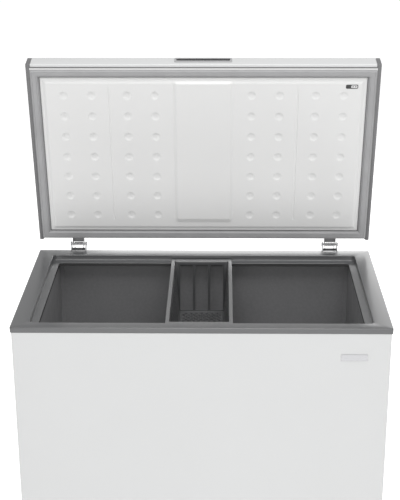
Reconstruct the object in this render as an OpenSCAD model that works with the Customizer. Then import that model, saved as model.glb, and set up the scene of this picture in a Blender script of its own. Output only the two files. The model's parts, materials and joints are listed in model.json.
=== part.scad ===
// Chest freezer with its lid raised on two spring hinges and a storage basket on the ledge of the top frame.
// The origin is on the floor, under the middle of the whole object. +X is to the right, +Y to the back and
// +Z up.

/* [Cabinet] */
// Width over the top frame
body_w = 1298; // [1250:1:1340]
// Depth over the top frame
body_d = 740; // [720:10:780]
// Height of the top frame above the floor
body_h = 765; // [750:5:830]
// Height of the base above the floor
base_h = 30; // [30:1:36]
// Thickness of the outer steel sheet
sheet_t = 1; // [0.8:0.1:1.2]
// Distance from the frame's side to the inside of the cavity
wall_side = 84; // [80:1:88]
// Distance from the frame's front to the inside of the cavity
wall_front = 67; // [66:1:70]
// Distance from the frame's back to the inside of the cavity
wall_back = 40; // [36:1:50]
// Height of the cavity floor above the floor
floor_z = 85; // [80:1:95]
// Height of the step over the machine bay
step_z = 320; // [300:5:340]
// Width of the step over the machine bay
step_w = 237; // [230:1:250]

/* [Top frame] */
// Wall thickness of the frame
frame_t = 3; // [2.5:0.5:3.5]
// Height of the outer lip
lip_h = 20; // [18:1:22]
// Width of the flat rim at the front
rim_front = 44; // [42:1:46]
// Width of the flat rim at the back
rim_back = 56; // [52:1:60]
// Width of the flat rim at the sides
rim_side = 61; // [58:1:64]
// How far the lip stands out over the cabinet's sides
overhang = 4; // [3:0.5:5]
// Depth of the basket ledge below the rim
ledge_drop = 20; // [18:1:22]
// Width of the ledge at the front and the sides
ledge_w = 26; // [24:1:26]
// Width of the ledge at the back
ledge_back = 33; // [28:1:36]

/* [Lid] */
// Angle that the lid stands open
lid_open = 80; // [0:5:80]
// Length of the lid from back to front
lid_l = 731; // [728:1:735]
// Thickness of the lid
lid_t = 70; // [64:1:76]
// Gap between the lid's underside and the rim, filled by the gasket
lid_gap = 10; // [10:0.5:12]
// Thickness of the plastic end caps
cap_t = 16.5; // [14:0.5:18]
// Width of the gasket
gasket_w = 32; // [30:1:38]
// Width of the handle's grip slot
grip_w = 197; // [160:1:220]
// Height of the handle's grip slot
grip_h = 22; // [20:1:26]
// Depth of the handle's grip slot
grip_d = 28; // [24:1:32]

/* [Hinges] */
// Distance of each hinge from the middle
hinge_x = 497; // [440:1:520]
// Distance of the hinge pin behind the frame's back
pin_back = 24; // [24:1:26]
// Height of the hinge pin above the rim
pin_up = 17.6; // [17:0.1:19]
// Radius of the hinge pin
pin_r = 4; // [3.5:0.1:4.5]
// Width of the lower hinge bracket
bracket_w = 59; // [58:1:64]
// Width of the upper hinge leaf
leaf_w = 45; // [42:1:48]

/* [Basket] */
// Place of the basket's middle, from the middle of the cabinet
basket_x = -8; // [-300:1:300]
// Width of the basket over its rails
basket_w = 234; // [200:1:260]
// Height of the basket
basket_h = 208; // [180:1:222]
// Wall thickness of the basket
basket_t = 2.5; // [2:0.5:3]

/* [Hidden] */
$fn = 64;
eps = 0.01;
clear = 0.2;
run_clear = 0.05;

// Outlines are [left, right, front, back, corner radius], measured from the middle and from the frame's
// front.
half_w = body_w / 2;
rim_outer = [-half_w, half_w, 0, body_d, 6];
rim_hole = [-half_w + rim_side, half_w - rim_side, rim_front, body_d - rim_back, 15];
ledge_hole = [rim_hole[0] + ledge_w, rim_hole[1] - ledge_w, rim_front + ledge_w, rim_hole[3] - ledge_back,
    17];
drip_t = 2.4;
cavity_top = [-half_w + wall_side, half_w - wall_side, wall_front, body_d - wall_back, 20];
cavity_low = [cavity_top[0], cavity_top[1] - step_w, cavity_top[2], cavity_top[3], 20];
rear_y = body_d - 1;
inside_y = rear_y - sheet_t - clear;
skin_top = body_h - lip_h;
// The outer sheet wraps round the front and the sides. Its outline runs on past the back, where it is cut.
skin_outer = [-half_w + overhang, half_w - overhang, 1, body_d + 30, 5];
skin_inner = inset(skin_outer, sheet_t + clear);
// The tongue of the frame stands inside the outer sheet.
tongue = [skin_inner[0] + clear, skin_inner[1] - clear, 2.4, body_d - 2.4, 3.6];
liner_t = 1;
liner_top = body_h - ledge_drop - frame_t - clear;
base_t = 1.2;

// Machine bay below the step
bay_x = cavity_low[1] + 60;
bay_z = step_z - 64;
bay_mid = (bay_x + half_w) / 2;
bay_open = [bay_x + 14, half_w - 22, base_h + 16, bay_z - 12];
tray_z = base_h + base_t;

// Control panel low on the front of the machine bay
panel_w = 220;
panel_h = 52;
panel_z = base_h + 34;
knob_x = bay_mid + 62;
knob_r = 15;
spindle_r = 3;
lamp_x = bay_mid - 75;
lamp_pitch = 24;
sensor_y = 120;

// Side grille, feet and drain
grille = [470, 650, 70, 200];
foot_x = half_w - 89;
foot_y = 62;
roller_y = body_d - 50;
roller_r = 14;
axle_r = 3;
drain_x = -420;
drain_y = 110;
drain_z = base_h + 20;
drain_r = 8;

// Lid, measured from the underside of its back edge when it is closed
pivot_y = body_d + pin_back;
pivot_z = body_h + pin_up;
lid_back_y = body_d - 5;
pin_a = pivot_y - lid_back_y;
pin_t = pin_up - lid_gap;
skin_half = half_w - cap_t - 0.5;
gasket_edge = [-half_w + 14, half_w - 14, -lid_l + 14, -4, 3];
grip_t = 49;
bezel = [212, 42, 43];
reach_y = pivot_y + (5 - pin_a) * cos(lid_open) + (lid_t - pin_t) * sin(lid_open);
mid_y = reach_y / 2;

// Basket
basket_top = body_h - 10;
basket_floor = basket_top - basket_h;
rail_w = 14;
window_pitch = 59;
window_w = 49;

// An outline moved inwards by d on every side
function inset(e, d) = [e[0] + d, e[1] - d, e[2] + d, e[3] - d, max(e[4] - d, 1)];

// ---- shared shapes ----

// Puts what is measured from the frame's front into the object's own frame
module stand() {
    translate([0, -mid_y, 0]) children();
}

// Puts what is measured on the closed lid where the raised lid is
module on_lid() {
    stand() translate([0, pivot_y, pivot_z]) rotate([-lid_open, 0, 0])
        translate([0, -pin_a, -pin_t]) children();
}

module outline(e) {
    r = e[4];
    translate([e[0] + r, e[2]]) square([e[1] - e[0] - 2 * r, e[3] - e[2]]);
    translate([e[0], e[2] + r]) square([e[1] - e[0], e[3] - e[2] - 2 * r]);
    for (x = [e[0] + r, e[1] - r], y = [e[2] + r, e[3] - r]) translate([x, y]) circle(r);
}

module block(e, z0, z1) {
    translate([0, 0, z0]) linear_extrude(z1 - z0) outline(e);
}

module band(outer, inner, z0, z1) {
    translate([0, 0, z0]) linear_extrude(z1 - z0) difference() {
        outline(outer);
        outline(inner);
    }
}

// A box given by its limits
module box(x0, x1, y0, y1, z0, z1) {
    translate([x0, y0, z0]) cube([x1 - x0, y1 - y0, z1 - z0]);
}

// A round bar from p to q
module bar(p, q, r) {
    v = q - p;
    translate(p) rotate([0, acos(v[2] / norm(v)), atan2(v[1], v[0])]) cylinder(r = r, h = norm(v));
}

// A tube through a list of points, with ball corners
module route(points, r) {
    for (i = [0 : len(points) - 2]) bar(points[i], points[i + 1], r);
    if (len(points) > 2) for (i = [1 : len(points) - 2]) translate(points[i]) sphere(r);
}

// A cylinder that starts at p and runs along X or along Y
module along_x(p, r, h) {
    translate(p) rotate([0, 90, 0]) cylinder(r = r, h = h);
}

module along_y(p, r, h) {
    translate(p) rotate([-90, 0, 0]) cylinder(r = r, h = h);
}

// A closed tube along a path of points. ref is a direction that the path never runs along.
module swept(path, r, sides, ref) {
    last = len(path) - 1;
    function along(i) = path[min(i + 1, last)] - path[max(i - 1, 0)];
    rings = [for (i = [0 : last])
        let (t = along(i) / norm(along(i)), c = cross(t, ref), n = c / norm(c), m = cross(t, n))
        for (k = [0 : sides - 1]) path[i] + r * (cos(k * 360 / sides) * n + sin(k * 360 / sides) * m)];
    polyhedron(rings, concat(
        [[for (k = [0 : sides - 1]) k]],
        [for (i = [0 : last - 1], k = [0 : sides - 1]) let (j = (k + 1) % sides)
            [i * sides + k, (i + 1) * sides + k, (i + 1) * sides + j, i * sides + j]],
        [[for (k = [sides - 1 : -1 : 0]) last * sides + k]]));
}

// All space behind y
module behind(y) {
    box(-half_w, half_w, y, 2 * body_d, 0, body_h);
}

// ---- cabinet shell ----

// The open space inside the liner, grown by g
module cavity(g) {
    block(inset(cavity_low, -g), floor_z - g, liner_top + 2 * g);
    block(inset(cavity_top, -g), step_z - g, liner_top + 2 * g);
}

module outer_cabinet() color("whitesmoke") stand() difference() {
    band(skin_outer, inset(skin_outer, sheet_t), base_h, skin_top);
    behind(rear_y);
    panel_box(6, -1, 9);
    box(half_w - 9, half_w, grille[0], grille[1], grille[2], grille[3]);
    along_y([drain_x, -1, drain_z], drain_r + 2 + clear, 9);
}

module rear_panel() color("silver") stand() difference() {
    box(skin_outer[0] + 2 * sheet_t, skin_outer[1] - 2 * sheet_t, rear_y - sheet_t, rear_y, base_h, skin_top);
    box(bay_open[0], bay_open[1], rear_y - 9, body_d, bay_open[2], bay_open[3]);
}

module base_pan() color("silver") stand() difference() {
    block(skin_inner, base_h, tray_z);
    behind(inside_y);
}

module cabinet_foam() color("khaki") stand() difference() {
    union() {
        block(skin_inner, tray_z + clear, body_h - ledge_drop - 14);
        block(inset(tongue, 3.6), tray_z + clear, liner_top - liner_t - clear);
    }
    behind(inside_y);
    cavity(liner_t + clear);
    route(drain_path(floor_z, 1), drain_r + 2 + clear);
    box(bay_x - 1 - clear, half_w, 0, body_d, 0, bay_z + 1 + clear);
    sensor_hole();
}

module inner_liner() color("dimgray") stand() difference() {
    union() {
        intersection() {
            cavity(liner_t);
            box(-half_w, half_w, 0, body_d, 0, liner_top);
        }
        block(inset(cavity_top, -16), liner_top - liner_t, liner_top);
    }
    cavity(0);
    translate([drain_x, drain_y, 0]) cylinder(r = drain_r + 2 + clear, h = floor_z + 1);
}

module top_frame() color("gray") stand() {
    riser = inset(rim_hole, -frame_t);
    band(rim_outer, inset(rim_outer, frame_t), body_h - lip_h, body_h);
    band(rim_outer, rim_hole, body_h - frame_t, body_h);
    band(riser, rim_hole, body_h - ledge_drop - frame_t, body_h);
    band(riser, ledge_hole, body_h - ledge_drop - frame_t, body_h - ledge_drop);
    band(inset(ledge_hole, -drip_t), ledge_hole, body_h - ledge_drop - 13, body_h - ledge_drop);
    band(tongue, inset(tongue, 2.6), body_h - lip_h - 12, body_h - 2);
    band(rim_outer, inset(tongue, 1), body_h - lip_h, body_h - lip_h + frame_t);
}

module machine_bay_panel() color("silver") stand() difference() {
    intersection() {
        block(inset(skin_inner, clear), tray_z, bay_z + 1);
        union() {
            box(bay_x - 1, bay_x, 0, body_d, 0, body_h);
            box(bay_x - 1, half_w, 0, body_d, bay_z, body_h);
        }
    }
    behind(inside_y);
    sensor_hole();
}

// Way for the thermostat's bulb tube through the bay's ceiling and the foam
module sensor_hole() {
    translate([knob_x, sensor_y, bay_z - 4]) cylinder(r = 3, h = 70);
}

// ---- refrigeration ----

// Tube wound round the liner, above the step. Each turn rises along the back to the next one.
evap_r = 4;
evap_turns = 7;
evap_pitch = 57;
evap_bend = 20;
evap_edge = inset(cavity_top, -liner_t - evap_r - clear);
evap_path = [
    for (k = [0 : evap_turns - 1])
        for (c = [[0, 3, 90, 1, -1], [0, 2, 180, 1, 1], [1, 2, 270, -1, 1], [1, 3, 0, -1, -1]])
            for (step = [0 : 3]) let (turn = c[2] + step * 30) [
                evap_edge[c[0]] + evap_bend * (c[3] + cos(turn)),
                evap_edge[c[1]] + evap_bend * (c[4] + sin(turn)),
                step_z + 26 + k * evap_pitch
            ]
];

module evaporator_coil() color("peru") stand() swept(evap_path, evap_r, 8, [0, 0, 1]);

// Rows of tube behind one side wall, joined by half-round bends
module serpentine(x, low, rows) {
    r = 2.5;
    turn = 30;
    front = 90;
    back = body_d - 90;
    for (i = [0 : rows - 1]) bar([x, front, low + i * 2 * turn], [x, back, low + i * 2 * turn], r);
    for (i = [0 : rows - 2])
        translate([x, i % 2 == 0 ? back : front, low + (2 * i + 1) * turn])
            rotate([i % 2 == 0 ? 0 : 180, 0, 0]) rotate([0, -90, 0])
                rotate_extrude(angle = 180) translate([turn, 0]) circle(r);
}

module condenser_coil() color("peru") stand() {
    side = skin_inner[1] - 3;
    serpentine(-side, 90, 10);
    serpentine(side, bay_z + 34, 6);
}

// ---- machine bay ----

comp_y = body_d - 150;
comp_z = tray_z + 22;
comp_r = 70;
leg_x = 66;
leg_y = 46;

module compressor() color("black") stand() translate([bay_mid, comp_y, comp_z]) {
    h = 150;
    cylinder(r1 = comp_r - 16, r2 = comp_r, h = 24);
    translate([0, 0, 24]) cylinder(r = comp_r, h = h - 64);
    translate([0, 0, h - 40]) cylinder(r1 = comp_r, r2 = comp_r - 10, h = 22);
    translate([0, 0, h - 18]) cylinder(r1 = comp_r - 10, r2 = comp_r - 34, h = 18);
    translate([0, 0, 92]) cylinder(r = comp_r + 4, h = 3);
    difference() {
        box(-leg_x - 14, leg_x + 14, -leg_y - 14, leg_y + 14, -3, 0);
        for (x = [-leg_x, leg_x], y = [-leg_y, leg_y]) translate([x, y, -4]) cylinder(r = 7, h = 5);
    }
    along_y([-24, -comp_r - 12, 80], 4, 24);
    along_y([24, -comp_r - 12, 60], 4, 24);
}

module compressor_mounts() color("dimgray") stand()
    for (x = [-leg_x, leg_x], y = [-leg_y, leg_y]) translate([bay_mid + x, comp_y + y, 0]) {
        translate([0, 0, tray_z]) cylinder(r = 12, h = comp_z - 3 - tray_z);
        translate([0, 0, tray_z]) cylinder(r = 6.8, h = comp_z + 4 - tray_z);
        translate([0, 0, comp_z + clear]) cylinder(r = 11, h = 5);
    }

module relay_cover() color("black") stand() {
    x = bay_mid + comp_r + 1;
    box(x, x + 26, comp_y - 28, comp_y + 28, comp_z + 26, comp_z + 84);
}

module filter_drier() color("peru") stand() translate([bay_x + 26, body_d - 90, tray_z + 40]) {
    cylinder(r = 10, h = 90);
    translate([0, 0, 90]) cylinder(r1 = 10, r2 = 3, h = 14);
    translate([0, 0, -14]) cylinder(r1 = 3, r2 = 10, h = 14);
}

module refrigerant_pipes() color("peru") stand() {
    stub = comp_y - comp_r - 12;
    left = bay_mid - 24;
    right = bay_mid + 24;
    drier = [bay_x + 26, body_d - 90];
    r = 3;
    route([[left, stub, comp_z + 80], [left, stub - 40, comp_z + 80], [left, stub - 40, bay_z - clear]], r);
    route([[right, stub, comp_z + 60], [right, stub - 70, comp_z + 60], [bay_x + 26, stub - 70, comp_z + 60],
        [bay_x + 26, stub - 70, bay_z - clear]], r);
    route([[drier[0], drier[1], tray_z + 144], [drier[0], drier[1], bay_z - clear]], r);
    route([[drier[0], drier[1], tray_z + 26], [drier[0], drier[1], tray_z + 12],
        [drier[0], drier[1] - 180, tray_z + 12], [drier[0], drier[1] - 180, bay_z - clear]], 2);
}

// A plate with rows of slanted slots, standing in the XZ plane with its outer face at y = 0
module louvred(x0, x1, z0, z1, t, edge, pitch) {
    columns = 3;
    rib = 4;
    width = (x1 - x0 - 2 * edge - (columns - 1) * rib) / columns;
    rows = floor((z1 - z0 - 2 * edge) / pitch);
    difference() {
        box(x0, x1, -t, 0, z0, z1);
        for (i = [0 : rows - 1], j = [0 : columns - 1])
            translate([x0 + edge + j * (width + rib), 0, z0 + edge + i * pitch])
                rotate([90, 0, 90]) linear_extrude(width)
                    polygon([[1, -1], [1, pitch * 0.5 - 1], [-t - 1, pitch * 0.5 + 2], [-t - 1, 2]]);
    }
}

cover_screws = [
    for (x = [bay_open[0] - 5, bay_open[1] + 5])
        for (z = [bay_open[2] + 8, (bay_open[2] + bay_open[3]) / 2, bay_open[3] - 8]) [x, z]
];
gland = [bay_open[0] + 22, bay_open[2] + 12];
gland_r = 4;

module bay_cover() color("gainsboro") stand() difference() {
    union() {
        translate([0, body_d + 0.6, 0]) difference() {
            box(bay_open[0] - 10, bay_open[1] + 10, -1.6, 0, bay_open[2] - 10, bay_open[3] + 10);
            box(bay_open[0] + 8, bay_open[1] - 8, -3, 1, bay_open[2] + 32, bay_open[3] - 8);
        }
        translate([0, body_d + 0.2, 0])
            louvred(bay_open[0] + 2, bay_open[1] - 2, bay_open[2] + 26, bay_open[3] - 2, 5, 10, 12);
    }
    for (s = cover_screws) along_y([s[0], rear_y - 8, s[1]], 2.1, 20);
    along_y([gland[0], rear_y - 8, gland[1]], 7, 20);
}

module bay_cover_screws() color("silver") stand() for (s = cover_screws) {
    along_y([s[0], rear_y, s[1]], 2, 1.6);
    along_y([s[0], body_d + 0.6, s[1]], 4, 1.8);
}

module cord_gland() color("black") stand() difference() {
    union() {
        along_y([gland[0], rear_y - 3, gland[1]], 9, 3);
        along_y([gland[0], rear_y - 0.5, gland[1]], 6.9, 4);
        along_y([gland[0], body_d + 0.6, gland[1]], 9, 3);
    }
    along_y([gland[0], rear_y - 9, gland[1]], gland_r, 30);
}

module side_grille() color("lightgray") stand() translate([skin_outer[1] + 0.8, 0, 0]) rotate([0, 0, -90]) {
    difference() {
        box(-grille[1] - 6, -grille[0] + 6, -0.8, 0, grille[2] - 6, grille[3] + 6);
        box(-grille[1] + 6, -grille[0] - 6, -2, 1, grille[2] + 6, grille[3] - 6);
    }
    translate([0, -0.3, 0])
        louvred(-grille[1] + 0.5, -grille[0] - 0.5, grille[2] + 0.5, grille[3] - 0.5, 5, 9, 9);
}

// ---- control panel and thermostat ----

// A box on the control panel's outline, moved inwards by g
module panel_box(g, y0, y1) {
    box(bay_mid - panel_w / 2 + g, bay_mid + panel_w / 2 - g, y0, y1,
        panel_z - panel_h / 2 + g, panel_z + panel_h / 2 - g);
}

module control_panel() color("whitesmoke") stand() difference() {
    union() {
        panel_box(0, -1, 1);
        difference() {
            panel_box(6.4, 1, 7);
            panel_box(8.4, 1, 8);
        }
        along_y([knob_x, 0, panel_z], knob_r + 3.5, 12);
    }
    along_y([knob_x, -2, panel_z], knob_r + 1.5, 12);
    along_y([knob_x, -2, panel_z], spindle_r + 1, 20);
    for (i = [0 : 2]) along_y([lamp_x + i * lamp_pitch, -2, panel_z], 3.1, 5);
}

module indicator_lamps() color("seagreen") stand()
    for (i = [0 : 2]) along_y([lamp_x + i * lamp_pitch, -1.8, panel_z], 3, 10);

module thermostat_body() color("silver") stand() difference() {
    box(knob_x - 16, knob_x + 16, 12.2, 44, panel_z - 14, panel_z + 14);
    along_y([knob_x, 12, panel_z], spindle_r + run_clear, 16);
}

// Bulb tube of the thermostat, from its body to the underside of the step
module thermostat_sensor() color("peru") stand()
    route([[knob_x, 30, panel_z + 14], [knob_x, 30, bay_z - 20], [knob_x, sensor_y, bay_z - 20],
        [knob_x, sensor_y, step_z - liner_t - clear]], 1.5);

module thermostat_spindle() color("silver") stand()
    along_y([knob_x, 3, panel_z], spindle_r, 24);

module thermostat_knob() color("white") stand() difference() {
    union() {
        along_y([knob_x, 0, panel_z], knob_r, 9);
        box(knob_x - 2.5, knob_x + 2.5, -1, 1, panel_z - knob_r + 2, panel_z + knob_r - 2);
    }
    along_y([knob_x, 3, panel_z], spindle_r, 7);
}

// ---- drain ----

// From z in the cavity floor down and out through the front at y
function drain_path(z, y) = [[drain_x, drain_y, z], [drain_x, drain_y, drain_z], [drain_x, y, drain_z]];

module drain_tube() color("white") stand() difference() {
    route(drain_path(floor_z, 1), drain_r + 2);
    route(drain_path(floor_z + 1, 0), drain_r);
}

module drain_cap() color("white") stand() {
    along_y([drain_x, -2, drain_z], drain_r + 6, 2.8);
    along_y([drain_x, 0, drain_z], drain_r - 0.1, 16);
}

module drain_plug() color("dimgray") stand() translate([drain_x, drain_y, floor_z]) {
    translate([0, 0, clear]) cylinder(r = drain_r + 8, h = 3);
    translate([0, 0, -16]) cylinder(r = drain_r - 0.1, h = 17);
}

// ---- feet and rollers ----

module front_feet() color("black") stand()
    for (s = [-1, 1]) translate([s * foot_x, foot_y, 0]) {
        cylinder(r = 20, h = 10);
        cylinder(r = 13, h = base_h);
    }

module roller_brackets() color("silver") stand()
    for (s = [-1, 1]) translate([s * foot_x, roller_y, 0]) difference() {
        union() {
            box(-24, 24, -18, 18, base_h - 1.5, base_h);
            for (x = [-15.5, 13.5]) box(x, x + 2, -10, 10, 5, base_h - 1);
        }
        along_x([-30, 0, roller_r], axle_r + run_clear, 60);
    }

module roller_axles() color("silver") stand()
    for (s = [-1, 1]) translate([s * foot_x, roller_y, roller_r]) {
        along_x([-17, 0, 0], axle_r, 34);
        along_x([-18.5, 0, 0], axle_r + 2, 2);
        along_x([16.5, 0, 0], axle_r + 2, 2);
    }

module roller(s) color("dimgray") stand() translate([s * foot_x, roller_y, roller_r]) difference() {
    along_x([-12.5, 0, 0], roller_r, 25);
    along_x([-20, 0, 0], axle_r + run_clear, 40);
    for (x = [-13.5, 9.5]) difference() {
        along_x([x, 0, 0], roller_r - 3, 4);
        along_x([x, 0, 0], axle_r + 3, 4);
    }
}

module roller_left() roller(-1);
module roller_right() roller(1);

// ---- hinges, measured from the pin ----

plate_t = 2.5;
ear_r = 10;
flange_y = rear_y - pivot_y;
lip_y = body_d - pivot_y + 0.5;
lip_z = -pin_up - lip_h - 2;
bracket_low = -127;
web_y = 16;
bracket_screws = [for (x = [-1, 1], z = [-65, -110]) [x * (bracket_w / 2 + 8), z]];

module at_pin(s) {
    stand() translate([s * hinge_x, pivot_y, pivot_z]) children();
}

module hinge_bracket(s) color("gray") at_pin(s) difference() {
    union() {
        for (x = [-bracket_w / 2, bracket_w / 2 - plate_t]) translate([x, 0, 0]) {
            rotate([90, 0, 90]) linear_extrude(plate_t)
                polygon([[flange_y, bracket_low], [web_y + plate_t, bracket_low],
                    [web_y + plate_t, -24], [ear_r - 0.2, -2], [-ear_r + 0.2, -2], [lip_y, -18],
                    [lip_y, lip_z], [flange_y, lip_z]]);
            rotate([0, 90, 0]) cylinder(r = ear_r, h = plate_t);
        }
        box(-bracket_w / 2, bracket_w / 2, web_y, web_y + plate_t, bracket_low, -24);
        for (x = [-bracket_w / 2 - 14, bracket_w / 2 - 1])
            box(x, x + 15, flange_y, flange_y + plate_t, bracket_low, lip_z - 5);
    }
    along_x([-bracket_w, 0, 0], pin_r + run_clear, 2 * bracket_w);
    for (p = bracket_screws) along_y([p[0], flange_y - 1, p[1]], 2.2, 5);
}

module hinge_bracket_left() hinge_bracket(-1);
module hinge_bracket_right() hinge_bracket(1);

module hinge_pin(s) color("silver") at_pin(s) {
    along_x([-bracket_w / 2 - 1, 0, 0], pin_r, bracket_w + 2);
    along_x([-bracket_w / 2 - 3.2, 0, 0], pin_r + 2.5, 3);
    along_x([bracket_w / 2 + 0.2, 0, 0], pin_r + 2.5, 3);
}

module hinge_pin_left() hinge_pin(-1);
module hinge_pin_right() hinge_pin(1);

spring_r = 6.9;
spring_wire = 1.1;
spring_turns = 8;
spring_half = 17;
spring_steps = 14 * spring_turns;
spring_leg = [[13.5, -84], [13.5, -26], [9, -13]];
spring_path = concat(
    [for (p = spring_leg) [-spring_half, p[0], p[1]]],
    [for (i = [0 : spring_steps]) let (turn = i / 14 * 360)
        [-spring_half + 2 * spring_half * i / spring_steps, spring_r * -sin(turn), -spring_r * cos(turn)]],
    [for (i = [2 : -1 : 0]) [spring_half, spring_leg[i][0], spring_leg[i][1]]]
);

module hinge_springs() color("silver")
    for (s = [-1, 1]) at_pin(s) swept(spring_path, spring_wire, 6, [1, 0, 0]);

module hinge_screws() color("silver") for (s = [-1, 1]) at_pin(s) for (p = bracket_screws) {
    along_y([p[0], flange_y, p[1]], 2, plate_t + 0.5);
    along_y([p[0], flange_y + plate_t, p[1]], 4.5, 2);
}

module front_badge() color("silver") stand()
    box(476, 566, -0.6, 1, body_h - 119, body_h - 97);

// ---- lid, measured from the underside of its back edge when it is closed ----

panel_edge = inset(gasket_edge, gasket_w + 3);
plateau = inset(panel_edge, 20);
centre_panel = [-105, 105, plateau[2], -88, 6];
sheet_in = 2.2;
dimple_x = [178, 281, 413, 516];
dimple_a = [for (i = [0 : 6]) 112 + i * 83.5];
crease_x = 348;

// The raised form of the lid's inner sheet, moved inwards by g
module liner_form(g) {
    block(inset(panel_edge, g), -3 + g, 2 + eps);
    block(inset(plateau, g), -8 + g, 2 + eps);
    block(inset(centre_panel, g), -11 + g, 2 + eps);
}

module grip_pocket(g) {
    box(-grip_w / 2 - g, grip_w / 2 + g, -lid_l - 3, -lid_l + grip_d + g,
        grip_t - grip_h / 2 - g, grip_t + grip_h / 2 + g);
}

module lid_skin() color("white") on_lid() difference() {
    union() {
        difference() {
            box(-skin_half, skin_half, -lid_l, 0, 2.2, lid_t);
            box(-skin_half - 1, skin_half + 1, -lid_l + sheet_t, -sheet_t, 2, lid_t - sheet_t);
        }
        box(-skin_half, skin_half, -lid_l, -lid_l + 11, 2.2, 3.2);
    }
    grip_pocket(2);
}

module lid_foam() color("khaki") on_lid() difference() {
    union() {
        box(-skin_half + clear, skin_half - clear, -lid_l + sheet_t + clear, -sheet_t - clear,
            3.4, lid_t - sheet_t - clear);
        liner_form(sheet_in + clear);
        block(inset(panel_edge, sheet_in + clear), 1, 4);
    }
    grip_pocket(2 + clear);
}

module lid_liner() color("white") on_lid() difference() {
    union() {
        block(gasket_edge, 0, 2);
        liner_form(0);
    }
    liner_form(sheet_in);
    block(inset(panel_edge, sheet_in), 0, 3);
    for (x = dimple_x, s = [-1, 1], a = dimple_a)
        translate([s * x, -a, -8 - 80 + 1.6]) sphere(80, $fn = 48);
    for (s = [-1, 1]) translate([s * crease_x, -642, -8]) rotate([0, 45, 0]) box(-1, 1, 0, 550, -1, 1);
}

module lid_gasket() color("darkgray") on_lid() {
    band(gasket_edge, inset(gasket_edge, gasket_w), -3, 0);
    band(inset(gasket_edge, 4), inset(gasket_edge, gasket_w - 4), -lid_gap + clear, -3);
}

// End cap on the left side; the right one is its mirror image
module lid_cap() on_lid() difference() {
    union() {
        box(-half_w + 0.5, -half_w + 0.5 + cap_t, -lid_l - 2, 5, 2.5, lid_t);
        box(-half_w + 0.5, gasket_edge[0] - 0.5, -lid_l - 2, 5, -1, 3);
    }
    box(-half_w + 4, -half_w + cap_t + 2, -lid_l + 1, 2, 6, lid_t - 3);
}

module lid_cap_left() color("dimgray") lid_cap();
module lid_cap_right() color("dimgray") mirror([1, 0, 0]) lid_cap();

module handle_bezel() color("darkgray") on_lid() difference() {
    box(-bezel[0] / 2, bezel[0] / 2, -lid_l - 2, -lid_l, bezel[2] - bezel[1] / 2, bezel[2] + bezel[1] / 2);
    grip_pocket(0);
}

module handle_cup() color("black") on_lid() difference() {
    intersection() {
        grip_pocket(1.8);
        box(-half_w, half_w, -lid_l, 0, 0, lid_t);
    }
    grip_pocket(0);
}

module lid_label() color("black") on_lid() box(522, 567, -658, -642, -8.4, -8);

// Upper hinge leaf: a plate on the lid's back and a channel that reaches to the pin
module hinge_leaf(s) color("dimgray") on_lid() translate([s * hinge_x, 0, 0]) difference() {
    union() {
        box(-leaf_w / 2, leaf_w / 2, 0, plate_t, 4, 62);
        box(-leaf_w / 2, leaf_w / 2, 0, pin_a - 4, pin_t + 9.6, pin_t + 11.6);
        for (x = [-leaf_w / 2, leaf_w / 2 - plate_t]) translate([x, 0, 0]) {
            rotate([90, 0, 90]) linear_extrude(plate_t)
                polygon([[0, 4], [0, 40], [9, pin_t + 11.6], [pin_a - 3, pin_t + 11.6],
                    [pin_a + 5, pin_t + 6], [pin_a, pin_t - 8.5]]);
            translate([0, pin_a, pin_t]) rotate([0, 90, 0]) cylinder(r = 8.5, h = plate_t);
        }
    }
    along_x([-leaf_w, pin_a, pin_t], pin_r + run_clear, 2 * leaf_w);
    for (p = leaf_holes) along_y([p[0], -1, p[1]], 2.2, 5);
}

leaf_holes = [[-13, 52], [13, 52], [0, 32]];

module hinge_leaf_left() hinge_leaf(-1);
module hinge_leaf_right() hinge_leaf(1);

module leaf_screws() color("silver") on_lid()
    for (s = [-1, 1], p = leaf_holes) translate([s * hinge_x, 0, 0]) {
        along_y([p[0], 0, p[1]], 2, plate_t + 0.5);
        along_y([p[0], plate_t, p[1]], 4.5, 2);
    }

// ---- basket ----

rim = [-basket_w / 2, basket_w / 2, rim_front + 2, body_d - rim_back - 14, 6];
mouth = inset(rim, rail_w);
bucket = [-basket_w / 2 + rail_w - basket_t, basket_w / 2 - rail_w + basket_t,
    ledge_hole[2] + 4, ledge_hole[3] - 4, 6];
draft = 0.84;
draft_y = 0.962;

// The tapered body of the basket, moved inwards by g
module bucket_form(g) {
    e = inset(bucket, g);
    mid = (e[2] + e[3]) / 2;
    function ring(z, kx, ky) = [for (c = [[0, 2], [1, 2], [1, 3], [0, 3]])
        [e[c[0]] * kx, mid + (e[c[1]] - mid) * ky, z]];
    polyhedron(concat(ring(basket_floor + g, draft, draft_y), ring(basket_top - 2, 1, 1)),
        [[0, 1, 2, 3], [7, 6, 5, 4], [4, 5, 1, 0], [5, 6, 2, 1], [6, 7, 3, 2], [7, 4, 0, 3]]);
}

module basket() color("dimgray") stand() translate([basket_x, 0, 0]) {
    slots = 27;
    slot_pitch = 20;
    slot_first = (bucket[2] + bucket[3]) / 2 - (slots - 1) / 2 * slot_pitch;
    difference() {
        union() {
            block(rim, basket_top - 3, basket_top);
            band(rim, inset(rim, 2.5), basket_top - 9.7, basket_top);
            bucket_form(0);
        }
        translate([0, 0, eps]) bucket_form(basket_t);
        block(inset(bucket, basket_t), basket_top - 3 - eps, basket_top + 1);
        for (i = [0 : slots - 1]) translate([0, slot_first + i * slot_pitch, 0])
            box(-basket_w, basket_w, -5, 5, basket_floor + 12, basket_top - 28);
        for (i = [-1 : 1]) translate([i * window_pitch, 0, 0])
            box(-window_w / 2, window_w / 2, 0, body_d, basket_floor + 6, basket_top - 17);
        for (i = [-3 : 3], j = [-9 : 9]) translate([i * 22, (bucket[2] + bucket[3]) / 2 + j * 27, 0])
            box(-8, 8, -10, 10, basket_floor - 1, basket_floor + 4);
    }
}

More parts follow.
